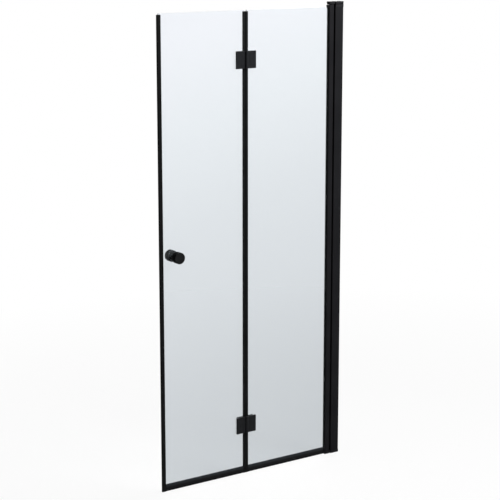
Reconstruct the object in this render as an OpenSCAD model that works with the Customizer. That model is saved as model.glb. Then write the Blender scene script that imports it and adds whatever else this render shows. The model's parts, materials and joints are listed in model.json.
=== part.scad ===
// Trackless bifold shower door: two glass leaves, folded by two front hinges,
// hung on a pivoting stile in a wall channel that takes up an uneven wall.
// X runs along the door, 0 at the wall and negative towards the free edge.
// Y is 0 in the middle of the glass, with the dry side at -Y. Z is 0 at the floor.

/* [Door] */
// Width from the wall to the free edge
door_w = 870; // [760:5:1000]
// Height from the floor to the top of the cap
door_h = 1900; // [1700:10:2100]
// Width of the outer leaf, from the free edge to the fold
outer_leaf_w = 400; // [340:5:440]

/* [Glass] */
// Thickness of the glass
glass_t = 6; // [5:1:8]
// How far the glass's lower edge lies above the stile's lower end
glass_lift = 1.7; // [0.5:0.1:4]
// How far the glass's upper edge lies below the stile's upper end
glass_drop = 4.7; // [1:0.1:8]

/* [Wall channel] */
// Reach of the channel from the wall
channel_w = 39; // [38:1:55]
// Depth of the channel from front to back
channel_d = 27; // [26:0.5:32]
// Wall thickness of the channel
channel_wall = 1.8; // [1.5:0.1:2.2]
// Thickness of the channel's back, which is screwed to the wall
channel_back = 2.2; // [1.8:0.1:3]
// Diameter of the wall screw holes
wall_hole_d = 5.5; // [4.5:0.5:6.5]
// How far the first and last wall screw holes lie from the ends of the door
wall_hole_inset = 125; // [80:5:200]
// Wall thickness of the adjusting profile inside the channel
adjuster_wall = 1.6; // [1.4:0.1:2]

/* [Caps] */
// Thickness of the top and bottom caps
cap_h = 12; // [11:0.5:16]
// Height of the shadow gap round the foot of the top cap
shadow_h = 3; // [1:0.5:4]
// Wall thickness of the collar round the top of the channel
collar_t = 1.5; // [1:0.1:2.5]
// Height of that collar
collar_h = 10; // [6:0.5:16]
// How far the caps reach past the stile
cap_over = 1; // [0.5:0.5:5]

/* [Pivot stile] */
// Width of the stile, rounded nose included
stile_w = 27.25; // [24:0.25:32]
// Depth of the stile, and the diameter of its rounded nose
stile_d = 21; // [20:0.5:22]
// Gap between the stile's nose and the channel
nose_gap = 0.75; // [0.6:0.05:1.5]
// Wall thickness of the stile
stile_wall = 1.6; // [1.2:0.1:1.8]
// Thickness of the rubber on each face of the glass in the stile
gasket_t = 2; // [1.5:0.1:2.5]
// Depth of the pocket that holds the glass
pocket_depth = 9.2; // [8:0.1:9.4]
// Diameter of the pivot pins
pivot_pin_d = 7; // [6:0.5:7.5]
// Length of a pivot pin
pivot_pin_len = 21; // [18:0.5:24]

/* [Seals] */
// Thickness of the seal legs on the glass
leg_t = 1.4; // [1:0.1:1.8]
// Length of the legs of the seals at the fold
fold_leg = 6.2; // [4:0.2:14]
// Length of the legs of the closing seal
closing_leg = 8.8; // [6:0.2:16]
// Width of the soft bulb on the closing edge
closing_bulb = 6.5; // [3.5:0.5:9]
// Width of the soft bulb of each seal at the fold
fold_bulb = 3.5; // [3:0.1:4.5]
// How far the tops of the vertical seals lie below the glass's upper edge
seal_drop = 5; // [0:0.5:20]
// Height of the bottom seals' legs on the glass
foot_leg = 12.5; // [8:0.5:20]
// Gap between the bottom seals and the floor
floor_gap = 1; // [0.5:0.5:4]

/* [Hinges] */
// Height of a hinge
hinge_h = 68; // [60:1:80]
// Width of a hinge plate, from the fold outwards
hinge_plate_w = 46; // [42:1:60]
// Thickness of the front hinge plates
hinge_plate_t = 6.5; // [5.5:0.5:8]
// Width of the clamp plates behind the glass, from the fold outwards
hinge_clamp_w = 38; // [38:1:42]
// Thickness of the clamp plates
hinge_clamp_t = 5; // [4:0.5:7]
// Distance from each end of the glass to the middle of its hinge
hinge_inset = 191; // [120:1:300]
// Diameter of the hinge knuckles
knuckle_d = 12; // [11:0.5:13]
// Diameter of the hinge pins
hinge_pin_d = 6; // [5:0.5:7]
// Height of the distance between the two screws of a plate
hinge_screw_pitch = 36; // [30:1:40]
// Distance of the hinge screws from the fold
hinge_screw_x = 27; // [22:1:32]
// Diameter of the hinge screws
hinge_screw_d = 5; // [4:0.5:6]

/* [Knob] */
// Diameter of the knobs
knob_d = 45.5; // [35:0.5:60]
// How far each knob stands off the glass
knob_len = 37; // [28:0.5:38]
// Distance of the knob from the free edge
knob_x = 70; // [55:1:120]
// Height of the knob above the floor
knob_z = 947; // [850:1:1100]
// Diameter of the knob's neck at the glass
knob_neck_d = 30; // [28:0.5:42]
// Length of the knob's neck
knob_neck_len = 12; // [3:0.5:14]
// Diameter of the stud that joins the two knobs
knob_stud_d = 6; // [5:0.5:8]

/* [Hidden] */
$fn = 64;

black = "#232427";      // powder coat
soft_black = "#1b1c1e"; // rubber
steel = "#9aa0a5";
glass_tint = [0.82, 0.88, 0.9, 0.35];

// Clearances
slip = 0.3;      // between sliding or loose parts
snug = 0.1;      // round a screw or a plug
running = 0.06;  // radial, a pin that turns in its bush
press = 0.02;    // radial, a pin held in its seat
eps = 0.05;      // overrun of a cut past a face

// Levels
channel_low = cap_h;
channel_high = door_h - cap_h;
bush_flange_t = 1;
end_plate_t = 2;                                    // end plate of the stile's end caps
stile_end = cap_h + bush_flange_t + slip;           // outer face of the lower end cap
stile_low = stile_end + end_plate_t;
stile_high = door_h - stile_low;
glass_low = stile_low + glass_lift;
glass_high = stile_high - glass_drop;
seal_high = glass_high - seal_drop;
hinge_levels = [glass_high - hinge_inset, glass_low + hinge_inset]; // upper, lower
UPPER = hinge_levels[0];
LOWER = hinge_levels[1];

// Stile and its pivot
nose_r = stile_d / 2;
pivot_x = -(channel_w + nose_gap + nose_r);
stile_left = -(channel_w + nose_gap + stile_w);
pocket_right = stile_left + pocket_depth;
pocket_half = glass_t / 2 + gasket_t;
gasket_base = 1.8;                                  // rubber behind the edge of the glass
glass_right = pocket_right - gasket_base;
chamber_left = pocket_right + 1.4;                  // web between pocket and chamber
stile_round = 2.5;                                  // corners beside the pocket
tab_t = 3;                                          // glass stop of the end caps
tab_h = 11;
plug_depth = 12;
side_hollow = nose_r - pocket_half - 2 * stile_wall; // width of the hollows beside the pocket
side_middle = (nose_r + pocket_half) / 2;           // and their middle
pivot_pin_r = pivot_pin_d / 2;
pin_rise = 7;                                       // pin length outside the channel level
pivot_bush_r = pivot_pin_r + 2.5;
pivot_bush_len = pin_rise + 0.5;

// Caps
cap_half = channel_d / 2 + collar_t;
arm_half = nose_r + 0.5;                            // the cap over the stile
arm_round = 6;
arm_neck = 3;                                       // depth of the shadow gap there
cap_round = 2.5;                                    // outer edges of the top cap
foot_round = 0.5;                                   // and of the bottom cap
cap_left = stile_left - cap_over;
cap_reach = max(norm([pivot_x - cap_left, arm_half]), norm([pivot_x + channel_w, cap_half]));
collar_joint = 0.5;                                 // collar's hold on the cap in the shadow gap

// Adjusting profile
adjuster_half = channel_d / 2 - channel_wall - slip;
adjuster_left = -channel_w + 0.4;
adjuster_right = -8;
adjuster_web = 3.2;                                 // web that carries the nose seal
box_right = -22;                                    // closed box of the adjusting profile
box_middle = (adjuster_left + adjuster_web + box_right - adjuster_wall) / 2;
port = [box_middle, adjuster_half - adjuster_wall - 3.8]; // place of a screw port
port_r = 4;
port_bore_r = 1.95;
cap_screw_r = 2.1;
fixing_x = -16;
fixing_inset = 150;
fixing_levels = [fixing_inset, door_h / 2, door_h - fixing_inset];
fixing_r = 1.9;
wall_hole_levels = [for (i = [0:3]) wall_hole_inset + i * (door_h - 2 * wall_hole_inset) / 3];

// Fold
fold_x = outer_leaf_w - door_w;
hinge_gasket_t = 1;
fold_clear = 0.5;                                   // plate face to the fold axis
plate_back = glass_t / 2 + hinge_gasket_t;
plate_front = plate_back + hinge_plate_t;
fold_y = -(plate_front + fold_clear);
knuckle_r = knuckle_d / 2;
knuckle_clear = 0.6;
end_knuckle_h = hinge_h / 4;
washer_t = 1;
washer_gap = 0.15;
mid_knuckle_h = hinge_h - 2 * (end_knuckle_h + washer_t + 2 * washer_gap);
hinge_pin_r = hinge_pin_d / 2;
plate_in = 0.7;                                     // plate edge to the fold
gasket_in = 6;                                      // gasket edge to the fold
hinge_hole_r = hinge_screw_d / 2 + 3.5;             // hole in the glass
boss_r = hinge_hole_r - 0.2;                        // gasket boss in that hole
soft_lip = 0.4;                                     // bulb tip to the fold
web_t = 1.3;                                        // seal web on the edge of the glass
fold_edge = soft_lip + fold_bulb + web_t;           // glass edge to the fold
free_edge = closing_bulb + web_t;                   // glass edge to the free edge
seal_half = glass_t / 2 + leg_t;
bulb_wall = 1;
foot_web = 1.5;                                     // bottom seal under the edge of the glass
blade_t = 1.4;                                      // its blade, which wipes the floor

// Outer leaf
outer_glass_left = -door_w + free_edge;
outer_glass_right = fold_x - fold_edge;
inner_glass_left = fold_x + fold_edge;
knob_at = [-door_w + knob_x, 0, knob_z];
knob_washer_t = 1;
knob_back = glass_t / 2 + knob_washer_t;
knob_face = glass_t / 2 + knob_len;
knob_hole_r = knob_stud_d / 2 + 4;
stud_reach = knob_back + 16;
stud_r = knob_stud_d / 2;

// ---- Helpers ----

// Plan outline lifted between two levels
module between(low, high) {
  translate([0, 0, low]) linear_extrude(high - low) children();
}

// Rectangle from corner to corner
module span(x0, x1, y0, y1) {
  translate([x0, y0]) square([x1 - x0, y1 - y0]);
}

// Section in Y and Z, drawn along X
module along(x0, x1) {
  translate([x0, 0, 0]) rotate([90, 0, 90]) linear_extrude(x1 - x0) children();
}

// The same piece at the other end of the door
module other_end() {
  translate([0, 0, door_h]) mirror([0, 0, 1]) children();
}

// Cylinder along Y, from y0 to y1
module pin_y(x, z, r, y0, y1) {
  translate([x, y1, z]) rotate([90, 0, 0]) cylinder(r = r, h = y1 - y0);
}

// Section in X and Z, drawn along Y on both sides of the glass
module across(half) {
  translate([0, half, 0]) rotate([90, 0, 0]) linear_extrude(2 * half) children();
}

// Rectangle whose two lower corners are round
module round_foot(x0, x1, y0, y1, r) {
  span(x0, x1, y0 + r, y1);
  span(x0 + r, x1 - r, y0, y0 + r + eps);
  for (x = [x0 + r, x1 - r]) translate([x, y0 + r]) circle(r);
}

// Rectangle whose two upper corners are round
module round_head(x0, x1, y0, y1, r) {
  translate([0, y0 + y1]) mirror([0, 1]) round_foot(x0, x1, y0, y1, r);
}

// A plane shape with its two axes swapped
module swap() {
  mirror([1, -1]) children();
}

// Block whose front face, at y0, has round edges all the way round
module soft_block(x0, x1, y0, y1, z0, z1, r) {
  intersection() {
    between(z0, z1) round_foot(x0, x1, y0, y1, r);
    along(x0 - 1, x1 + 1) swap() round_foot(z0, z1, y0, y1, r);
  }
}

// ---- Wall frame ----

module wall_channel() {
  half = channel_d / 2;
  color(black) difference() {
    between(channel_low, channel_high) difference() {
      span(-channel_w, 0, -half, half);
      span(-channel_w - 1, -channel_back, -half + channel_wall, half - channel_wall);
    }
    for (z = wall_hole_levels) translate([-channel_back - 1, 0, z]) rotate([0, 90, 0])
      cylinder(d = wall_hole_d, h = channel_back + 2);
    for (z = fixing_levels)
      pin_y(fixing_x, z, fixing_r + snug, half - channel_wall - 1, half + 1);
  }
}

module adjusting_profile() {
  inner = adjuster_half - adjuster_wall;
  color(black) difference() {
    between(channel_low, channel_high) difference() {
      union() {
        difference() {
          span(adjuster_left, adjuster_right, -adjuster_half, adjuster_half);
          span(adjuster_left + adjuster_web, box_right - adjuster_wall, -inner, inner);
          span(box_right, adjuster_right + 1, -inner, inner);
        }
        for (side = [-1, 1]) translate([port[0], side * port[1]]) circle(port_r);
      }
      for (side = [-1, 1]) translate([port[0], side * port[1]]) circle(port_bore_r);
      nose_groove();
    }
    for (z = fixing_levels) pin_y(fixing_x, z, fixing_r + press, inner - 1, adjuster_half + 1);
  }
}

// Groove for the nose seal, as deep as the seal's root
module nose_groove() {
  span(adjuster_left - 1, adjuster_left + 2.2, -2, 2);
}

module nose_seal() {
  face = -channel_w - nose_gap + slip + 0.05;
  color(soft_black) between(channel_low, channel_high) {
    span(adjuster_left - eps, adjuster_left + 2.2, -2, 2);
    swap() round_foot(-3, 3, face, adjuster_left, (adjuster_left - face) / 2);
  }
}

module fixing_screws() {
  half = channel_d / 2;
  color(steel) for (z = fixing_levels) difference() {
    union() {
      pin_y(fixing_x, z, fixing_r, adjuster_half - adjuster_wall - 1.5, half + eps);
      pin_y(fixing_x, z, 3.6, half, half + 2.2);
    }
    pin_y(fixing_x, z, 1.2, half + 1, half + 3);
  }
}

module fixing_covers() {
  half = channel_d / 2;
  color(black) for (z = fixing_levels) difference() {
    translate([fixing_x, half, z]) rotate([-90, 0, 0]) rotate_extrude() {
      span(0, 6, 0, 3);
      span(0, 5, 0, 4);
      translate([5, 3]) circle(1);
    }
    pin_y(fixing_x, z, 4.6, half - 1, half + 3);
  }
}

// Part of a cap plate, with round edges away from the wall: half its depth, left end, corners, edge
module cap_block(half, x0, r, edge) {
  intersection() {
    between(channel_high, door_h) swap() round_foot(-half, half, x0, 0, r);
    along(x0 - 1, 1) round_head(-half, half, channel_high, door_h, edge);
    across(half + 1) round_head(cap_left, edge, channel_high, door_h, edge);
  }
}

// Cap plate in the place of the top cap, broad over the channel and narrower over the stile
module cap_plate(edge) {
  difference() {
    union() {
      cap_block(cap_half, -channel_w, 2, edge);
      cap_block(arm_half, cap_left, arm_round, edge);
    }
    translate([pivot_x, 0, channel_high - 1]) cylinder(r = pivot_bush_r, h = pivot_bush_len + 1);
    for (side = [-1, 1]) translate([port[0], side * port[1], channel_high - 1]) {
      cylinder(r = cap_screw_r + snug, h = cap_h + 2);
      translate([0, 0, cap_h + 1 - 2.5]) cylinder(r1 = cap_screw_r + snug, r2 = 4.2 + snug, h = 2.5 + eps);
    }
  }
}

module top_cap() {
  half = channel_d / 2;
  core = half + collar_joint;
  color(black) {
    difference() {
      cap_plate(cap_round);
      between(channel_high - 1, channel_high + shadow_h) difference() {
        span(cap_left - 1, 1, -cap_half - 1, cap_half + 1);
        span(-channel_w + 1, 2, -core, core);
        span(cap_left + arm_neck, 0, -arm_half + arm_neck, arm_half - arm_neck);
      }
    }
    for (side = [-1, 1]) between(channel_high - collar_h, channel_high + eps)
      span(-channel_w, 0, side * (half + collar_t / 2) - collar_t / 2,
        side * (half + collar_t / 2) + collar_t / 2);
  }
}

module bottom_cap() {
  color(black) other_end() cap_plate(foot_round);
}

// Two countersunk screws at one end, held in the profile's ports
module end_screws() {
  length = cap_h + 14;
  for (side = [-1, 1]) translate([port[0], side * port[1], door_h]) difference() {
    union() {
      translate([0, 0, -length]) cylinder(r = port_bore_r - press, h = length - 2);
      translate([0, 0, -2.5]) cylinder(r1 = port_bore_r - press, r2 = 4, h = 2.4);
    }
    translate([0, 0, -1.6]) cylinder(r = 1.5, h = 2, $fn = 6);
  }
}

module cap_screws() {
  color(steel) {
    end_screws();
    other_end() end_screws();
  }
}

// Flanged bush for a pivot pin, at the top cap
module pivot_bush() {
  difference() {
    union() {
      translate([pivot_x, 0, channel_high]) cylinder(r = pivot_bush_r - press, h = pivot_bush_len);
      translate([pivot_x, 0, channel_high - bush_flange_t])
        cylinder(r = pivot_bush_r + 2.5, h = bush_flange_t);
    }
    translate([pivot_x, 0, channel_high - bush_flange_t - 1])
      cylinder(r = pivot_pin_r + running, h = pivot_bush_len + bush_flange_t + 2);
  }
}

module top_bush() {
  color(black) pivot_bush();
}

module bottom_bush() {
  color(black) other_end() pivot_bush();
}

// ---- Pivot stile ----

// Outline of the stile, with its half-round nose
module stile_outline() {
  swap() round_foot(-nose_r, nose_r, stile_left, pivot_x, stile_round);
  translate([pivot_x, 0]) circle(nose_r);
}

// Hollow in the nose, drawn in by a clearance
module stile_chamber(clear) {
  half = nose_r - stile_wall - clear;
  intersection() {
    union() {
      span(chamber_left + clear, pivot_x, -half, half);
      translate([pivot_x, 0]) circle(half);
    }
    span(chamber_left + clear, 0, -half, half);
  }
}

module pivot_stile() {
  color(black) between(stile_low, stile_high) difference() {
    stile_outline();
    span(stile_left - 1, pocket_right, -pocket_half, pocket_half);
    stile_chamber(0);
    for (side = [-1, 1])
      span(stile_left + stile_wall, pocket_right,
        side * side_middle - side_hollow / 2, side * side_middle + side_hollow / 2);
  }
}

// End cap in the top of the stile, with its glass stop
module stile_cap() {
  tab_half = nose_r - stile_round;
  difference() {
    union() {
      between(stile_high, stile_high + end_plate_t) stile_outline();
      between(stile_high - plug_depth, stile_high + eps) stile_chamber(snug);
      between(stile_high + slip - tab_h, stile_high + slip)
        span(stile_left - tab_t, stile_left, -tab_half, tab_half);
      between(stile_high, stile_high + end_plate_t)
        span(stile_left - 1, stile_left + 1, -tab_half, tab_half);
    }
    between(stile_high - tab_h, stile_high - min(glass_lift, glass_drop) + slip)
      span(stile_left - tab_t - 1, stile_left, -glass_t / 2 - slip, glass_t / 2 + slip);
    translate([pivot_x, 0, stile_high - plug_depth - 1])
      cylinder(r = pivot_pin_r + press, h = plug_depth + end_plate_t + 2);
  }
}

module stile_top_end() {
  color(black) stile_cap();
}

module stile_bottom_end() {
  color(black) other_end() stile_cap();
}

module pivot_pin() {
  color(steel) translate([pivot_x, 0, channel_high + pin_rise - pivot_pin_len])
    cylinder(r = pivot_pin_r, h = pivot_pin_len);
}

module upper_pivot_pin() {
  pivot_pin();
}

module lower_pivot_pin() {
  other_end() pivot_pin();
}

module glazing_gasket() {
  lip = 1.2;
  color(soft_black) {
    between(glass_low, glass_high) difference() {
      span(stile_left, pocket_right, -pocket_half, pocket_half);
      span(stile_left - 1, glass_right, -glass_t / 2, glass_t / 2);
    }
    between(door_h - stile_high + tab_h, stile_high - tab_h) difference() {
      span(stile_left - lip, stile_left + eps, -pocket_half, pocket_half);
      span(stile_left - lip - 1, glass_right, -glass_t / 2, glass_t / 2);
    }
  }
}

// ---- Glass ----

// Pane with its holes for the hinge screws, on one side of the fold
module pane(x0, x1, side) {
  difference() {
    between(glass_low, glass_high) span(x0, x1, -glass_t / 2, glass_t / 2);
    for (level = hinge_levels, up = [-1, 1])
      pin_y(fold_x + side * hinge_screw_x, level + up * hinge_screw_pitch / 2, hinge_hole_r,
        -glass_t, glass_t);
    children();
  }
}

module inner_glass() {
  color(glass_tint) pane(inner_glass_left, glass_right, 1);
}

module outer_glass() {
  color(glass_tint) pane(outer_glass_left, outer_glass_right, -1)
    pin_y(knob_at[0], knob_at[2], knob_hole_r, -glass_t, glass_t);
}

// ---- Seals ----

// Section of an edge seal: the glass edge is at 0, the glass at +X, the bulb at -X
module edge_section(bulb, leg) {
  span(-web_t, leg, -seal_half, -glass_t / 2);
  span(-web_t, leg, glass_t / 2, seal_half);
  span(-web_t, 0, -seal_half, seal_half);
  translate([-web_t, 0]) bulb_section(bulb);
}

// Hollow soft bulb, flat where it meets the web
module bulb_section(bulb) {
  difference() {
    bulb_outline(bulb, seal_half);
    bulb_outline(bulb - bulb_wall, seal_half - 1.8);
  }
}

module bulb_outline(bulb, half) {
  r = min(bulb * 0.6, half - 0.3);
  span(r - bulb, eps, -half, half);
  span(-bulb, r - bulb + eps, r - half, half - r);
  for (side = [-1, 1]) translate([r - bulb, side * (half - r)]) circle(r);
}

module closing_seal() {
  color(soft_black) between(floor_gap, seal_high)
    translate([outer_glass_left, 0]) edge_section(closing_bulb, closing_leg);
}

// Fold seal of one leaf, whose legs stop above and below each hinge
module fold_seal(side) {
  cut_half = hinge_h / 2 + slip;
  difference() {
    between(floor_gap, seal_high) translate([fold_x + side * fold_edge, 0])
      scale([side, 1]) edge_section(fold_bulb, fold_leg);
    for (level = hinge_levels, face = [-1, 1])
      translate([fold_x - 30, face * (glass_t / 2 + 5) - 5, level - cut_half])
        cube([60, 10, 2 * cut_half]);
  }
}

module inner_fold_seal() {
  color(soft_black) fold_seal(1);
}

module outer_fold_seal() {
  color(soft_black) fold_seal(-1);
}

// Section of a bottom seal in Y and Z: clip, blade and drip fin
module foot_section() {
  half = glass_t / 2;
  root = glass_low - foot_web;
  top = glass_low + foot_leg;
  blade = -half + 0.6;
  fin = half + 5.2;
  fin_low = floor_gap + 3.2;
  polygon([
    [-seal_half, top], [-seal_half, root], [blade, root], [blade, floor_gap],
    [blade + blade_t, floor_gap], [blade + blade_t, root],
    [half - 1.2, root], [fin, fin_low], [fin + 1, fin_low + 0.8], [half + 0.6, root],
    [seal_half, root], [seal_half, top], [half, top], [half, glass_low],
    [-half, glass_low], [-half, top]
  ]);
}

module inner_bottom_seal() {
  x0 = fold_x + fold_edge + fold_leg + slip;
  color(soft_black) difference() {
    along(x0, stile_left - tab_t - slip) foot_section();
    translate([pivot_x, 0, -1]) cylinder(r = cap_reach + slip, h = cap_h + 1 + slip);
  }
}

module outer_bottom_seal() {
  x0 = outer_glass_left + closing_leg + slip;
  color(soft_black) along(x0, fold_x - fold_edge - fold_leg - slip) foot_section();
}

// ---- Hinges ----

// Front plate of one leaf. middle is true for the leaf that has the middle knuckle.
module hinge_plate(level, side, middle) {
  low = level - hinge_h / 2;
  mid_half = mid_knuckle_h / 2;
  gap = washer_t + 2 * washer_gap;
  own = middle ? [[-mid_half, mid_half]]
    : [[-hinge_h / 2, end_knuckle_h - hinge_h / 2], [hinge_h / 2 - end_knuckle_h, hinge_h / 2]];
  other = middle ? [[-hinge_h / 2 - 1, -mid_half], [mid_half, hinge_h / 2 + 1]]
    : [[-mid_half - gap, mid_half + gap]];
  x0 = side > 0 ? fold_x + plate_in : fold_x - hinge_plate_w;
  x1 = side > 0 ? fold_x + hinge_plate_w : fold_x - plate_in;
  difference() {
    union() {
      soft_block(x0, x1, -plate_front, -plate_back, low, low + hinge_h, 1);
      for (z = own) translate([fold_x, fold_y, level + z[0]])
        cylinder(r = knuckle_r, h = z[1] - z[0]);
    }
    for (z = other) translate([fold_x, fold_y, level + z[0]])
      cylinder(r = knuckle_r + knuckle_clear, h = z[1] - z[0]);
    translate([fold_x, fold_y, low - 1])
      cylinder(r = hinge_pin_r + (middle ? running : press), h = hinge_h + 2);
    for (up = [-1, 1])
      pin_y(fold_x + side * hinge_screw_x, level + up * hinge_screw_pitch / 2,
        hinge_screw_d / 2 + press, -plate_front + 1.5, 0);
  }
}

// Clamp plate behind the glass, with its countersinks
module hinge_clamp(level, side) {
  x0 = side > 0 ? fold_x + 2 : fold_x - hinge_clamp_w;
  x1 = side > 0 ? fold_x + hinge_clamp_w : fold_x - 2;
  back = plate_back + hinge_clamp_t;
  low = level - hinge_h / 2;
  difference() {
    mirror([0, 1, 0]) soft_block(x0, x1, -back, -plate_back, low, low + hinge_h, 1);
    for (up = [-1, 1]) translate([fold_x + side * hinge_screw_x, 0, level + up * hinge_screw_pitch / 2]) {
      pin_y(0, 0, hinge_screw_d / 2 + snug, 0, back + 1);
      translate([0, back - 2.8, 0]) rotate([-90, 0, 0])
        cylinder(r1 = hinge_screw_d / 2 + snug, r2 = hinge_screw_d + snug, h = 2.8 + eps);
    }
  }
}

// Rubber pads on both faces of one pane, at both hinges, with bosses in the glass
module hinge_gaskets(side) {
  z_half = hinge_h / 2 - 1;
  half = glass_t / 2;
  color(soft_black) for (level = hinge_levels) {
    difference() {
      union() {
        between(level - z_half, level + z_half) gasket_pad(side, hinge_plate_w, -plate_back, -half);
        for (up = [-1, 1])
          pin_y(fold_x + side * hinge_screw_x, level + up * hinge_screw_pitch / 2, boss_r,
            -half - eps, half - snug);
      }
      gasket_holes(level, side);
    }
    difference() {
      between(level - z_half, level + z_half) gasket_pad(side, hinge_clamp_w, half, plate_back);
      gasket_holes(level, side);
    }
  }
}

// Plan of a pad under a plate of the given width
module gasket_pad(side, width, y0, y1) {
  if (side > 0) span(fold_x + gasket_in, fold_x + width - 1, y0, y1);
  else span(fold_x - width + 1, fold_x - gasket_in, y0, y1);
}

module gasket_holes(level, side) {
  for (up = [-1, 1])
    pin_y(fold_x + side * hinge_screw_x, level + up * hinge_screw_pitch / 2,
      hinge_screw_d / 2 + snug, -plate_back - 1, plate_back + 1);
}

// Countersunk screws that draw each clamp to its front plate
module hinge_screws(side) {
  back = plate_back + hinge_clamp_t;
  r = hinge_screw_d / 2;
  color(steel) for (level = hinge_levels, up = [-1, 1])
    translate([fold_x + side * hinge_screw_x, 0, level + up * hinge_screw_pitch / 2]) difference() {
      union() {
        pin_y(0, 0, r, -plate_front + 2, back - 1);
        translate([0, back - 2.8, 0]) rotate([-90, 0, 0]) cylinder(r1 = r, r2 = 2 * r - 2 * snug, h = 2.6);
      }
      translate([0, back - 2, 0]) rotate([-90, 0, 0]) cylinder(r = r * 0.6, h = 3, $fn = 6);
    }
}

module hinge_pin(level) {
  color(steel) translate([fold_x, fold_y, level - hinge_h / 2 + 0.5])
    cylinder(r = hinge_pin_r, h = hinge_h - 1);
}

module hinge_washers() {
  color(black) for (level = hinge_levels, up = [-1, 1])
    translate([fold_x, fold_y, level + up * (mid_knuckle_h / 2 + washer_gap + washer_t / 2) - washer_t / 2])
      difference() {
        cylinder(r = knuckle_r - 0.3, h = washer_t);
        translate([0, 0, -1]) cylinder(r = hinge_pin_r + snug, h = washer_t + 2);
      }
}

module upper_hinge_inner_plate() {
  color(black) hinge_plate(UPPER, 1, false);
}

module upper_hinge_inner_clamp() {
  color(black) hinge_clamp(UPPER, 1);
}

module upper_hinge_pin() {
  hinge_pin(UPPER);
}

module lower_hinge_inner_plate() {
  color(black) hinge_plate(LOWER, 1, false);
}

module lower_hinge_inner_clamp() {
  color(black) hinge_clamp(LOWER, 1);
}

module lower_hinge_pin() {
  hinge_pin(LOWER);
}

module inner_hinge_gaskets() {
  hinge_gaskets(1);
}

module inner_hinge_screws() {
  hinge_screws(1);
}

module upper_hinge_outer_plate() {
  color(black) hinge_plate(UPPER, -1, true);
}

module upper_hinge_outer_clamp() {
  color(black) hinge_clamp(UPPER, -1);
}

module lower_hinge_outer_plate() {
  color(black) hinge_plate(LOWER, -1, true);
}

module lower_hinge_outer_clamp() {
  color(black) hinge_clamp(LOWER, -1);
}

module outer_hinge_gaskets() {
  hinge_gaskets(-1);
}

module outer_hinge_screws() {
  hinge_screws(-1);
}

// ---- Knob ----

// One knob, its axis on +Z and 0 in the middle of the glass
module knob() {
  neck_top = knob_back + knob_neck_len;
  edge = 1.2;
  r = knob_d / 2;
  difference() {
    rotate_extrude() {
      span(0, knob_neck_d / 2, knob_back, neck_top + eps);
      span(0, r - edge, neck_top, knob_face);
      span(0, r, neck_top + edge, knob_face - edge);
      for (z = [neck_top + edge, knob_face - edge]) translate([r - edge, z]) circle(edge);
    }
    translate([0, 0, knob_back - 1]) cylinder(r = stud_r + press, h = stud_reach - knob_back + 2);
  }
}

module front_knob() {
  color(black) translate(knob_at) rotate([90, 0, 0]) knob();
}

module rear_knob() {
  color(black) translate(knob_at) rotate([-90, 0, 0]) knob();
}

module knob_stud() {
  color(steel) pin_y(knob_at[0], knob_at[2], stud_r, -stud_reach, stud_reach);
}

module knob_sleeve() {
  color("#d8d8d2") difference() {
    pin_y(knob_at[0], knob_at[2], knob_hole_r - 0.2, -glass_t / 2, glass_t / 2);
    pin_y(knob_at[0], knob_at[2], stud_r + snug, -glass_t, glass_t);
  }
}

module knob_washers() {
  color(soft_black) for (side = [-1, 1]) translate([0, side * (glass_t + knob_washer_t) / 2, 0])
    difference() {
      pin_y(knob_at[0], knob_at[2], knob_neck_d / 2 - 0.5, -knob_washer_t / 2, knob_washer_t / 2);
      pin_y(knob_at[0], knob_at[2], stud_r + snug, -knob_washer_t, knob_washer_t);
    }
}

wall_channel();
adjusting_profile();
nose_seal();
fixing_screws();
fixing_covers();
top_cap();
bottom_cap();
cap_screws();
top_bush();
bottom_bush();
pivot_stile();
stile_top_end();
stile_bottom_end();
upper_pivot_pin();
lower_pivot_pin();
glazing_gasket();
inner_glass();
inner_fold_seal();
inner_bottom_seal();
upper_hinge_inner_plate();
upper_hinge_inner_clamp();
upper_hinge_pin();
lower_hinge_inner_plate();
lower_hinge_inner_clamp();
lower_hinge_pin();
inner_hinge_gaskets();
inner_hinge_screws();
hinge_washers();
outer_glass();
closing_seal();
outer_fold_seal();
outer_bottom_seal();
upper_hinge_outer_plate();
upper_hinge_outer_clamp();
lower_hinge_outer_plate();
lower_hinge_outer_clamp();
outer_hinge_gaskets();
outer_hinge_screws();
front_knob();
rear_knob();
knob_stud();
knob_sleeve();
knob_washers();
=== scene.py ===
import json
from math import pi, radians

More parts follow.
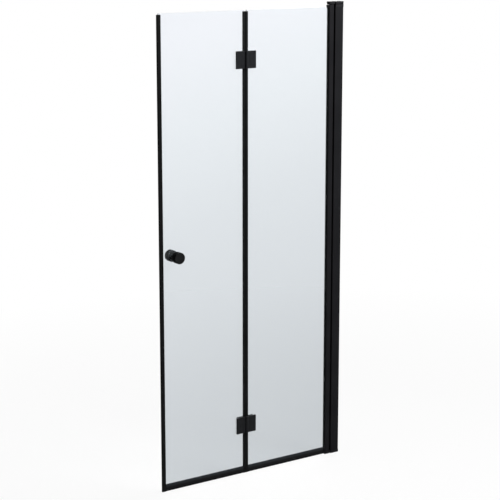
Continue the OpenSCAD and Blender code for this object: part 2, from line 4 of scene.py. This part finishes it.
import bmesh
import bpy
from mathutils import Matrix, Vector


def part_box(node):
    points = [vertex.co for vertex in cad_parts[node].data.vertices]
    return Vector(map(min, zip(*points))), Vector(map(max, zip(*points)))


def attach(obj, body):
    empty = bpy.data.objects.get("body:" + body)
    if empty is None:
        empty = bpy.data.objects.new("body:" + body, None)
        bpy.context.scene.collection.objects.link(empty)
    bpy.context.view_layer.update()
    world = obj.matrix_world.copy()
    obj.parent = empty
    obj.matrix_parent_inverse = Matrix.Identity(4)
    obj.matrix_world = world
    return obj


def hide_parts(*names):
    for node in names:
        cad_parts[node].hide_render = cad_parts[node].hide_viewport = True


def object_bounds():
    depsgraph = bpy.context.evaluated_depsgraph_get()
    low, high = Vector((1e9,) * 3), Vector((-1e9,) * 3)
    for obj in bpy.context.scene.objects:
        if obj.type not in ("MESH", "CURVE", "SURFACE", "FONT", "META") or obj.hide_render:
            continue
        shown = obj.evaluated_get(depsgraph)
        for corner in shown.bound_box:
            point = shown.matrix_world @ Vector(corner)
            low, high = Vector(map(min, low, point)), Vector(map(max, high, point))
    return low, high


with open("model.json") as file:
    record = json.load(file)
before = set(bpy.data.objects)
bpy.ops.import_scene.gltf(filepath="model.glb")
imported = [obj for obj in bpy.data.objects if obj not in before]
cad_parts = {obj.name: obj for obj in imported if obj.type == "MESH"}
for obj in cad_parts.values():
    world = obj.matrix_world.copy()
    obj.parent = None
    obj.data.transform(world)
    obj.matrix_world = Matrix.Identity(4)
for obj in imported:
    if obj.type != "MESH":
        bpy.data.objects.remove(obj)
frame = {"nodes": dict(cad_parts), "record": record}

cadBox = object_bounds()
cadNodes = frame["nodes"]
bodyOf = {node: body for body, members in frame["record"]["behaviour"]["bodies"].items()
          for node in members}
mm = 0.001
doorMiddle = (cadBox[0] + cadBox[1]) / 2
doorHeight = cadBox[1].z
print("shower door: frame loaded,", len(cadNodes), "CAD nodes")


# Colours and nodes

def toLinear(hexCode):  # sRGB hex to the linear values that the sockets take
    parts = [int(hexCode[i:i + 2], 16) / 255 for i in (1, 3, 5)]
    return [c / 12.92 if c <= 0.04045 else ((c + 0.055) / 1.055) ** 2.4 for c in parts] + [1.0]


def addNode(tree, kind, settings=None, links=None):  # one node, its settings and what feeds it
    node = tree.nodes.new("ShaderNode" + kind)
    for key, value in (settings or {}).items():
        if key == "stops":
            ramp = node.color_ramp.elements
            while len(ramp) < len(value):
                ramp.new(1.0)
            for stop, (place, colour) in zip(ramp, value):
                stop.position, stop.color = place, toLinear(colour)
        elif isinstance(key, int) or key in node.inputs:
            node.inputs[key].default_value = value
        else:
            setattr(node, key, value)
    for key, socket in (links or {}).items():
        tree.links.new(socket, node.inputs[key])
    return node


def newMaterial(name):  # an empty tree and its object coordinates
    material = bpy.data.materials.new(name)
    material.use_nodes = True
    tree = material.node_tree
    tree.nodes.clear()
    return material, tree, addNode(tree, "TexCoord").outputs["Object"]


def perMetre(size):  # how often a feature of that many millimetres fits in a metre
    return 1000 / size


noiseBand = (0.3, 0.7)  # nearly all of a noise texture's values lie between these


def addSurface(tree, look, tone, wear, relief):  # tone picks the colour and wear the roughness
    toneLow, toneHigh = look.get("toneBand", noiseBand)
    wearLow, wearHigh = look.get("wearBand", noiseBand)
    stops = look.get("stops") or [(toneLow, look["deep"]), (toneHigh, look["colour"])]
    shade = addNode(tree, "ValToRGB", {"stops": stops}, {"Fac": tone})
    rough = addNode(tree, "MapRange", {"From Min": wearLow, "From Max": wearHigh,
                                       "To Min": look["roughLow"], "To Max": look["roughHigh"]},
                    {"Value": wear})
    shader = addNode(tree, "BsdfPrincipled", {"Specular IOR Level": look["shine"],
                                              "Metallic": look.get("metallic", 0.0)},
                     {"Base Color": shade.outputs[0], "Roughness": rough.outputs[0],
                      "Normal": relief.outputs[0]})
    addNode(tree, "OutputMaterial", links={"Surface": shader.outputs[0]})


# Frame profiles: 6060 aluminium extrusions with a polyester powder coat, baked at 190 degrees.
# It gives a deep matt black with a fine orange peel, over faint lines left by the extrusion die.
powderLook = {
    "colour": "#1f1f21", "deep": "#19191b", "shine": 0.02, "roughLow": 0.42, "roughHigh": 0.58,
    "peel": 2.4,       # real peel is about 0.6 mm, too fine to show, so it is drawn 4 times as coarse
    "peelDepth": 0.05, "peelStrength": 0.5,
    "dieLine": 3.0, "dieRun": 900, "lineDepth": 0.03, "lineStrength": 0.3, "cloud": 140,
}


def powderCoat(name, look):
    material, tree, place = newMaterial(name)
    across, run = perMetre(look["dieLine"]), perMetre(look["dieRun"])
    along = addNode(tree, "Mapping", {"Scale": (across, across, run)}, {"Vector": place})
    line = addNode(tree, "TexNoise", {"Scale": 1.0, "Detail": 1.0}, {"Vector": along.outputs[0]})
    peel = addNode(tree, "TexNoise", {"Scale": perMetre(look["peel"]), "Detail": 2.0},
                   {"Vector": place})
    cloud = addNode(tree, "TexNoise", {"Scale": perMetre(look["cloud"]), "Detail": 2.0},
                    {"Vector": place})
    lineBump = addNode(tree, "Bump", {"Strength": look["lineStrength"],
                                      "Distance": look["lineDepth"] * mm},
                       {"Height": line.outputs["Fac"]})
    peelBump = addNode(tree, "Bump", {"Strength": look["peelStrength"],
                                      "Distance": look["peelDepth"] * mm},
                       {"Height": peel.outputs["Fac"], "Normal": lineBump.outputs[0]})
    addSurface(tree, look, cloud.outputs["Fac"], line.outputs["Fac"], peelBump)
    return material


# Caps, end caps, screw covers and bushes: black ABS, injection moulded in a spark-eroded tool.
# It reads a shade softer and duller than the powder coat, with an even grain.
mouldedLook = {
    "colour": "#222224", "deep": "#1b1b1d", "shine": 0.04, "roughLow": 0.5, "roughHigh": 0.62,
    "grain": 1.8,      # the real grain is 0.3 mm and is drawn coarser to show
    "grainDepth": 0.04, "grainStrength": 0.4, "wearBand": (0.0, 0.8),
    "flow": 60, "toneBand": (0.35, 0.65),
}
gapShadeLook = {**mouldedLook, "colour": "#0b0b0c", "deep": "#070707", "shine": 0.0}  # painted shade: the gap's floor is coloured near black for the shade in the recess


def mouldedPlastic(name, look):
    material, tree, place = newMaterial(name)
    grain = addNode(tree, "TexVoronoi", {"Scale": perMetre(look["grain"]), "Randomness": 1.0},
                    {"Vector": place})
    flow = addNode(tree, "TexNoise", {"Scale": perMetre(look["flow"]), "Detail": 3.0},
                   {"Vector": place})
    bump = addNode(tree, "Bump", {"Strength": look["grainStrength"],
                                  "Distance": look["grainDepth"] * mm},
                   {"Height": grain.outputs["Distance"]})
    addSurface(tree, look, flow.outputs["Fac"], grain.outputs["Distance"], bump)
    return material


# Hinges: zinc die castings, tumbled and sprayed with a satin black enamel.
# The enamel dries with soft, broad ripples and a fine, uneven shine.
castLook = {
    "colour": "#232426", "deep": "#1c1d1f", "shine": 0.04, "roughLow": 0.34, "roughHigh": 0.46,
    "ripple": 9, "rippleDepth": 0.03, "rippleStrength": 0.35, "speck": 1.5,
}


def castEnamel(name, look):
    material, tree, place = newMaterial(name)
    ripple = addNode(tree, "TexNoise", {"Scale": perMetre(look["ripple"]), "Detail": 3.0},
                     {"Vector": place})
    speck = addNode(tree, "TexNoise", {"Scale": perMetre(look["speck"]), "Detail": 1.0},
                    {"Vector": place})
    bump = addNode(tree, "Bump", {"Strength": look["rippleStrength"],
                                  "Distance": look["rippleDepth"] * mm},
                   {"Height": ripple.outputs["Fac"]})
    addSurface(tree, look, ripple.outputs["Fac"], speck.outputs["Fac"], bump)
    return material


# Knobs: turned brass with a black coat. The lathe leaves fine rings round the knob's axis,
# which pull the highlight into an arc.
turnedLook = {
    "colour": "#222324", "deep": "#1a1b1c", "shine": 0.04, "roughLow": 0.3, "roughHigh": 0.44,
    "ring": 1.2,       # real feed marks are about 0.15 mm apart, so they are drawn 8 times as coarse
    "ringDepth": 0.02, "ringStrength": 0.3, "waver": 0.4, "wearBand": (0.0, 1.0), "cloud": 25,
}
# Their sides take the same coat, coloured a deeper black as painted shade, with less shine, more
# roughness and shallower rings.
sideShadeLook = {**turnedLook, "colour": "#101011", "deep": "#0b0c0c", "shine": 0.01, "roughLow": 0.45,
            "roughHigh": 0.6, "ringDepth": 0.01}


def turnedCoat(name, look, centre):
    material, tree, place = newMaterial(name)
    centred = addNode(tree, "Mapping", {"Location": tuple(-c for c in centre)}, {"Vector": place})
    ring = addNode(tree, "TexWave", {"wave_type": "RINGS", "rings_direction": "Y",
                                     "Scale": perMetre(look["ring"]) * pi / 10,
                                     "Distortion": look["waver"]},
                   {"Vector": centred.outputs[0]})  # the texture makes a ring every pi / 10 units
    cloud = addNode(tree, "TexNoise", {"Scale": perMetre(look["cloud"]), "Detail": 2.0},
                    {"Vector": place})
    bump = addNode(tree, "Bump", {"Strength": look["ringStrength"],
                                  "Distance": look["ringDepth"] * mm},
                   {"Height": ring.outputs["Fac"]})
    addSurface(tree, look, cloud.outputs["Fac"], ring.outputs["Fac"], bump)
    return material


# Seals: black soft PVC, extruded. Smooth and slightly waxy, with drag lines along the run.
vinylLook = {
    "colour": "#151617", "deep": "#0f1010", "shine": 0.04, "roughLow": 0.36, "roughHigh": 0.52,
    "drag": 1.6, "dragRun": 260, "dragDepth": 0.03, "dragStrength": 0.3, "bloom": 45,
}

# Bottom seals: one extrusion with a hard satin clip on the glass and a soft, darker blade below it. The
# colour
# goes by the height above the floor: the two parts' own tones, with a painted highlight towards the
# clip's top and near-black painted shade at the floor.
footLook = {**vinylLook, "top": 29.5, "shine": 0.02,
            # near-black painted shade at the floor, painted highlight at the clip's top
            "stops": [(0.08, "#0a0a0a"), (0.2, "#1a1b1c"), (0.48, "#1b1c1d"), (0.6, "#232425"),
                      (1.0, "#33363a")]}


def softVinyl(name, look, axis):  # axis is the one that the seal runs along, 0 for X and 2 for Z
    material, tree, place = newMaterial(name)
    scale = [perMetre(look["drag"])] * 3
    scale[axis] = perMetre(look["dragRun"])
    along = addNode(tree, "Mapping", {"Scale": scale}, {"Vector": place})
    drag = addNode(tree, "TexNoise", {"Scale": 1.0, "Detail": 1.0}, {"Vector": along.outputs[0]})
    if "top" in look:
        # colour by height: the seal's own two tones with painted highlight and painted shade
        height = addNode(tree, "SeparateXYZ", links={0: place})
        tone = addNode(tree, "MapRange", {"From Max": look["top"] * mm},
                       {"Value": height.outputs["Z"]}).outputs[0]
    else:
        tone = addNode(tree, "TexNoise", {"Scale": perMetre(look["bloom"]), "Detail": 3.0},
                       {"Vector": place}).outputs["Fac"]
    bump = addNode(tree, "Bump", {"Strength": look["dragStrength"],
                                  "Distance": look["dragDepth"] * mm},
                   {"Height": drag.outputs["Fac"]})
    addSurface(tree, look, tone, drag.outputs["Fac"], bump)
    return material


# Panes: 6 mm clear toughened float glass with a water-repellent film, which lays a faint veil over
# what stands behind it. Its colour holds painted shade: nearly white at the top and a cool grey
# towards the floor, so the painted shade goes by the height above the floor.
glassLook = {
    # painted shade: the colour greys from the top of the pane down to the floor
    "stops": [(0.0, "#c7ccd0"), (0.18, "#ced3d7"), (0.39, "#d6dbdf"), (0.6, "#dde2e6"),
              (0.81, "#e7ecf0"), (1.0, "#eff2f7")],
    # the edge's own green, darkened towards the floor by the same painted shade
    "edgeStops": [(0.0, "#8fa3a3"), (1.0, "#c9d8d8")],
    "roughness": 0.0, "ior": 1.5, "veil": 0.03,
    "shadeLean": 0.34,      # the painted shade is a little deeper towards the wall, by this much height per length
}


def toughenedGlass(name, look, stops):
    material, tree, place = newMaterial(name)
    middle = addNode(tree, "Mapping", {"Location": (-doorMiddle.x, 0.0, 0.0)}, {"Vector": place})
    # painted shade by height above the floor, leaning deeper towards the wall
    height = addNode(tree, "VectorMath", {"operation": "DOT_PRODUCT", 1: (-look["shadeLean"], 0.0, 1.0)},
                     {0: middle.outputs[0]})
    level = addNode(tree, "MapRange", {"From Max": doorHeight}, {"Value": height.outputs["Value"]})
    paintedShade = addNode(tree, "ValToRGB", {"stops": stops}, {"Fac": level.outputs[0]})
    shader = addNode(tree, "BsdfPrincipled", {"Roughness": look["roughness"], "IOR": look["ior"],
                                              "Transmission Weight": 1.0 - look["veil"]},
                     {"Base Color": paintedShade.outputs[0]})
    addNode(tree, "OutputMaterial", links={"Surface": shader.outputs[0]})
    return material


# Screws, pins and stud: turned A2 stainless steel, with fine tool marks.
steelLook = {
    "colour": "#b9b8b5", "deep": "#8f8f8e", "metallic": 1.0, "shine": 0.5,
    "roughLow": 0.22, "roughHigh": 0.4, "mark": 0.9, "markDepth": 0.02, "markStrength": 0.2,
}
# Knob sleeve: natural white nylon, slightly cloudy and waxy.
nylonLook = {
    "colour": "#e9e8e2", "deep": "#d9d8cf", "shine": 0.5,
    "roughLow": 0.4, "roughHigh": 0.55, "mark": 4.0, "markDepth": 0.02, "markStrength": 0.2,
}
# Pads and washers: black EPDM rubber, moulded, with a dry, dull face.
rubberLook = {
    "colour": "#191919", "deep": "#101010", "shine": 0.3,
    "roughLow": 0.66, "roughHigh": 0.8, "mark": 2.0, "markDepth": 0.02, "markStrength": 0.2,
}


def smallPartFinish(name, look):
    material, tree, place = newMaterial(name)
    mark = addNode(tree, "TexNoise", {"Scale": perMetre(look["mark"]), "Detail": 3.0},
                   {"Vector": place})
    bump = addNode(tree, "Bump", {"Strength": look["markStrength"],
                                  "Distance": look["markDepth"] * mm},
                   {"Height": mark.outputs["Fac"]})
    addSurface(tree, look, mark.outputs["Fac"], mark.outputs["Fac"], bump)
    return material


def middleOf(node):
    low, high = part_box(node)
    return (low + high) / 2


knobMiddle = middleOf("knob_stud")
materials = {
    "frame": powderCoat("black_powder_coated_aluminium", powderLook),
    "caps": mouldedPlastic("black_moulded_ABS", mouldedLook),
    "gap": mouldedPlastic("painted_shade_in_the_shadow_gap", gapShadeLook),
    "hinges": castEnamel("satin_black_enamelled_zinc", castLook),
    "knobs": turnedCoat("black_coated_turned_brass", turnedLook, knobMiddle),
    "knobShadedSides": turnedCoat("black_coated_side_painted_shade", sideShadeLook, knobMiddle),
    "uprightSeals": softVinyl("black_soft_PVC_upright", vinylLook, 2),
    "footSeals": softVinyl("black_PVC_clip_and_blade_painted_light", footLook, 0),
    "glass": toughenedGlass("clear_toughened_glass_painted_shade", glassLook, glassLook["stops"]),
    "glassEdge": toughenedGlass("polished_glass_edge_painted_shade", glassLook, glassLook["edgeStops"]),
    "steel": smallPartFinish("turned_stainless_steel", steelLook),
    "nylon": smallPartFinish("natural_white_nylon", nylonLook),
    "rubber": smallPartFinish("black_EPDM_rubber", rubberLook),
}
print("shower door: finishes made,", len(materials))


# Finishes of all CAD nodes

hingeParts = [f"{level}_hinge_{leaf}_{part}" for level in ("upper", "lower")
              for leaf in ("inner", "outer") for part in ("plate", "clamp")]
finishOf = {
    "frame": ["wall_channel", "adjusting_profile", "pivot_stile"],
    "caps": ["top_cap", "bottom_cap", "stile_top_end", "stile_bottom_end", "fixing_covers",
             "hinge_washers", "top_bush", "bottom_bush"],
    "hinges": hingeParts,
    "knobs": ["front_knob", "rear_knob"],
    "uprightSeals": ["closing_seal", "inner_fold_seal", "outer_fold_seal", "nose_seal",
                     "glazing_gasket"],
    "footSeals": ["inner_bottom_seal", "outer_bottom_seal"],
    "glass": ["inner_glass", "outer_glass"],
    "steel": ["fixing_screws", "cap_screws", "upper_pivot_pin", "lower_pivot_pin", "upper_hinge_pin",
              "lower_hinge_pin", "inner_hinge_screws", "outer_hinge_screws", "knob_stud"],
    "nylon": ["knob_sleeve"],
    "rubber": ["inner_hinge_gaskets", "outer_hinge_gaskets", "knob_washers"],
}
finishFor = {node: materials[key] for key, members in finishOf.items() for node in members}
for node, finish in finishFor.items():
    cadNodes[node].material_slots[0].material = finish


# Pieces with soft edges, cut from merged copies of the CAD meshes

edgeRadius = {  # of each piece's rounded edges, in millimetres
    "wall_channel": 0.5, "adjusting_profile": 0.3, "pivot_stile": 0.5, "top_cap": 0.4,
    "bottom_cap": 0.4, "stile_top_end": 0.4, "stile_bottom_end": 0.4, "fixing_covers": 0.3,
    "closing_seal": 0.25, "inner_fold_seal": 0.25, "outer_fold_seal": 0.25,
    "inner_bottom_seal": 0.25, "outer_bottom_seal": 0.25, "inner_glass": 0.6, "outer_glass": 0.6,
    "glazing_gasket": 0.25, **{part: 0.35 for part in hingeParts},
}
edgeLook = {
    "steps": 2, "corner": 35,          # faces each rounding has, and the least angle that gets one
    "weld": 0.01, "flat": 0.5,         # millimetres between merged points, degrees in a flat face
}


def mergedCopy(node, look):  # one closed mesh with whole faces, from a CAD node's loose triangles
    mesh = bmesh.new()
    mesh.from_mesh(cadNodes[node].data)
    bmesh.ops.remove_doubles(mesh, verts=mesh.verts, dist=look["weld"] * mm)
    bmesh.ops.dissolve_limit(mesh, angle_limit=radians(look["flat"]), use_dissolve_boundaries=False,
                             verts=mesh.verts, edges=mesh.edges, delimit=set())
    return mesh


def softenEdges(mesh, radius, look):
    corners = [edge for edge in mesh.edges
               if edge.is_manifold and edge.calc_face_angle() > radians(look["corner"])]
    bmesh.ops.bevel(mesh, geom=corners, offset=radius * mm, offset_type="OFFSET",
                    segments=look["steps"], profile=0.5, affect="EDGES", clamp_overlap=True,
                    material=-1)


def finishPiece(mesh, name, node, finishes):  # the mesh becomes a piece that stands for the node
    data = bpy.data.meshes.new(name)
    mesh.to_mesh(data)
    mesh.free()
    for finish in finishes:
        data.materials.append(finish)
    data.shade_smooth()
    piece = bpy.data.objects.new(name, data)
    bpy.context.scene.collection.objects.link(piece)
    weighted = piece.modifiers.new("weighted_normals", "WEIGHTED_NORMAL")
    weighted.keep_sharp = True
    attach(piece, bodyOf[node])
    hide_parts(node)
    return piece


paneFace = 0.9     # a pane's two broad faces have at least this much of their normal along Y
sideShare = 0.5    # a side has less than this much of its normal along the piece's axis
gapHeight = 3.0    # millimetres above the wall channel in which the cap's sides are in the gap
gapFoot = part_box("wall_channel")[1].z


def isPaneEdge(face):
    return abs(face.normal.y) < paneFace


# faces in the shadow gap, which take the painted shade
def isInGap(face):
    return 0 < face.calc_center_median().z - gapFoot < gapHeight * mm and abs(face.normal.z) < sideShare


secondFinish = {"inner_glass": ("glassEdge", isPaneEdge), "outer_glass": ("glassEdge", isPaneEdge),
                "top_cap": ("gap", isInGap)}
for node, radius in edgeRadius.items():
    mesh = mergedCopy(node, edgeLook)
    softenEdges(mesh, radius, edgeLook)
    finishes = [finishFor[node]]
    if node in secondFinish:
        second, belongs = secondFinish[node]
        finishes.append(materials[second])
        for face in mesh.faces:
            face.material_index = 1 if belongs(face) else 0
    piece = finishPiece(mesh, node + "_soft", node, finishes)
    if node in finishOf["glass"]:
        piece.visible_shadow = False  # clear glass dims the floor very little
print("shower door: soft edges cut,", len(edgeRadius), "pieces")


# Knobs: spun from half a section

knobLook = {  # in millimetres; back and face are measured from the middle of the glass
    "back": 4.0, "face": 40.0, "radius": 22.75, "neck": 12.0, "neckRadius": 15.0,
    "edge": 1.2, "edgeSteps": 5,       # the rounding of the head's rims
    "dish": 0.6, "dishEdge": 3.0, "dishSlope": 1.5,  # depth, flat rim round it and its slope's width
    "steps": 96, "weld": 0.005,
}


def spunKnob(node, look, side):  # side is -1 for the front knob and 1 for the rear one
    radius, face, back = look["radius"], look["face"], look["back"]
    neckTop = back + look["neck"]
    dishRadius, dishFloor = radius - look["dishEdge"], face - look["dish"]
    outline = [(0, back), (look["neckRadius"], back), (look["neckRadius"], neckTop),
               (radius, neckTop), (radius, face), (dishRadius, face),
               (dishRadius - look["dishSlope"], dishFloor), (0, dishFloor)]
    mesh = bmesh.new()
    points = [mesh.verts.new((r * mm, side * y * mm, 0)) for r, y in outline]
    for pair in zip(points, points[1:]):
        mesh.edges.new(pair)
    headRims = points[3:5]  # the head's back and front edges are rounded
    bmesh.ops.bevel(mesh, geom=headRims, offset=look["edge"] * mm, offset_type="OFFSET",
                    segments=look["edgeSteps"], profile=0.5, affect="VERTICES", clamp_overlap=True,
                    material=-1)
    bmesh.ops.spin(mesh, geom=mesh.verts[:] + mesh.edges[:], cent=(0, 0, 0), axis=(0, 1, 0),
                   angle=radians(360), steps=look["steps"], use_merge=True, use_duplicate=False)
    bmesh.ops.remove_doubles(mesh, verts=mesh.verts, dist=look["weld"] * mm)
    bmesh.ops.recalc_face_normals(mesh, faces=mesh.faces)
    bmesh.ops.translate(mesh, verts=mesh.verts, vec=(knobMiddle.x, 0, knobMiddle.z))
    for facet in mesh.faces:
        # the sides take the finish with the painted shade
        facet.material_index = 1 if abs(facet.normal.y) < sideShare else 0
    finishPiece(mesh, node + "_spun", node, [materials["knobs"], materials["knobShadedSides"]])


spunKnob("front_knob", knobLook, -1)
spunKnob("rear_knob", knobLook, 1)
print("shower door: knobs spun")


# Floor, world, lamps and camera

studio = {
    "floorSize": 120, "floorColour": "#eeeeee", "skyLight": 0.1,
    "glowNear": 0.9, "glowFar": 1.0,   # how white the floor shows at the door and away from it
    "glowFrom": 1.0, "glowTo": 3.0,    # metres from the foot at the wall between which it brightens
    "keyPower": 79, "keySize": 1.2, "keyPlace": (0.8, -1.6, 2.7),
    "fillPower": 80, "fillSize": 3.0, "fillPlace": (2.6, 3.4, 3.4),
}


def whiteToTheEye(tree):  # 1 for the rays that show the background, 0 for those that light the door
    path = addNode(tree, "LightPath")
    first = addNode(tree, "Math", {"operation": "MAXIMUM"},
                    {0: path.outputs["Is Camera Ray"], 1: path.outputs["Is Glossy Ray"]})
    return addNode(tree, "Math", {"operation": "MAXIMUM"},
                   {0: first.outputs[0], 1: path.outputs["Is Transmission Ray"]}).outputs[0]


world = bpy.data.worlds.new("soft_white_studio")
bpy.context.scene.world = world
world.use_nodes = True
world.node_tree.nodes.clear()
strength = addNode(world.node_tree, "MapRange", {"To Min": studio["skyLight"], "To Max": 1.0},
                   {"Value": whiteToTheEye(world.node_tree)})
sky = addNode(world.node_tree, "Background", {"Color": (1, 1, 1, 1)}, {"Strength": strength.outputs[0]})
addNode(world.node_tree, "OutputWorld", links={"Surface": sky.outputs[0]})

floorFinish, tree, floorPlace = newMaterial("pale_studio_floor")
paper = addNode(tree, "BsdfDiffuse", {"Color": toLinear(studio["floorColour"])})
glow = addNode(tree, "Emission", {"Color": (1, 1, 1, 1), "Strength": 1.0})
away = addNode(tree, "VectorMath", {"operation": "LENGTH"}, {0: floorPlace})
fade = addNode(tree, "MapRange", {"From Min": studio["glowFrom"], "From Max": studio["glowTo"],
                                  "To Min": studio["glowNear"], "To Max": studio["glowFar"]},
               {"Value": away.outputs["Value"]})
share = addNode(tree, "Math", {"operation": "MULTIPLY"}, {0: whiteToTheEye(tree), 1: fade.outputs[0]})
mixed = addNode(tree, "MixShader", links={0: share.outputs[0], 1: paper.outputs[0], 2: glow.outputs[0]})
addNode(tree, "OutputMaterial", links={"Surface": mixed.outputs[0]})

floorMesh = bmesh.new()
bmesh.ops.create_grid(floorMesh, x_segments=1, y_segments=1, size=studio["floorSize"] / 2)
floorData = bpy.data.meshes.new("studio_floor")
floorMesh.to_mesh(floorData)
floorMesh.free()
floorData.materials.append(floorFinish)
floor = bpy.data.objects.new("studio_floor", floorData)
bpy.context.scene.collection.objects.link(floor)


def softLamp(name, place, power, size):  # a round lamp that looks at the middle of the door
    lamp = bpy.data.lights.new(name, "AREA")
    lamp.shape, lamp.size, lamp.energy = "DISK", size, power
    holder = bpy.data.objects.new(name, lamp)
    holder.location = place
    holder.rotation_euler = (Vector(place) - doorMiddle).to_track_quat("Z", "Y").to_euler()
    bpy.context.scene.collection.objects.link(holder)


softLamp("key", studio["keyPlace"], studio["keyPower"], studio["keySize"])
softLamp("fill", studio["fillPlace"], studio["fillPower"], studio["fillSize"])

view = {"place": (-3.895, -4.990, 2.230), "turn": 34.65, "down": 12.09,  # metres and degrees
        "lens": 111.93, "sensor": 36.0, "reach": 300.0}
cameraData = bpy.data.cameras.new("camera")
cameraData.lens, cameraData.sensor_width = view["lens"], view["sensor"]
cameraData.clip_end = view["reach"]
camera = bpy.data.objects.new("camera", cameraData)
camera.location = view["place"]
camera.rotation_euler = (radians(90 - view["down"]), 0, radians(-view["turn"]))
bpy.context.scene.collection.objects.link(camera)
bpy.context.scene.camera = camera
bpy.context.scene.view_settings.view_transform = "Standard"
print("shower door: studio and camera ready")
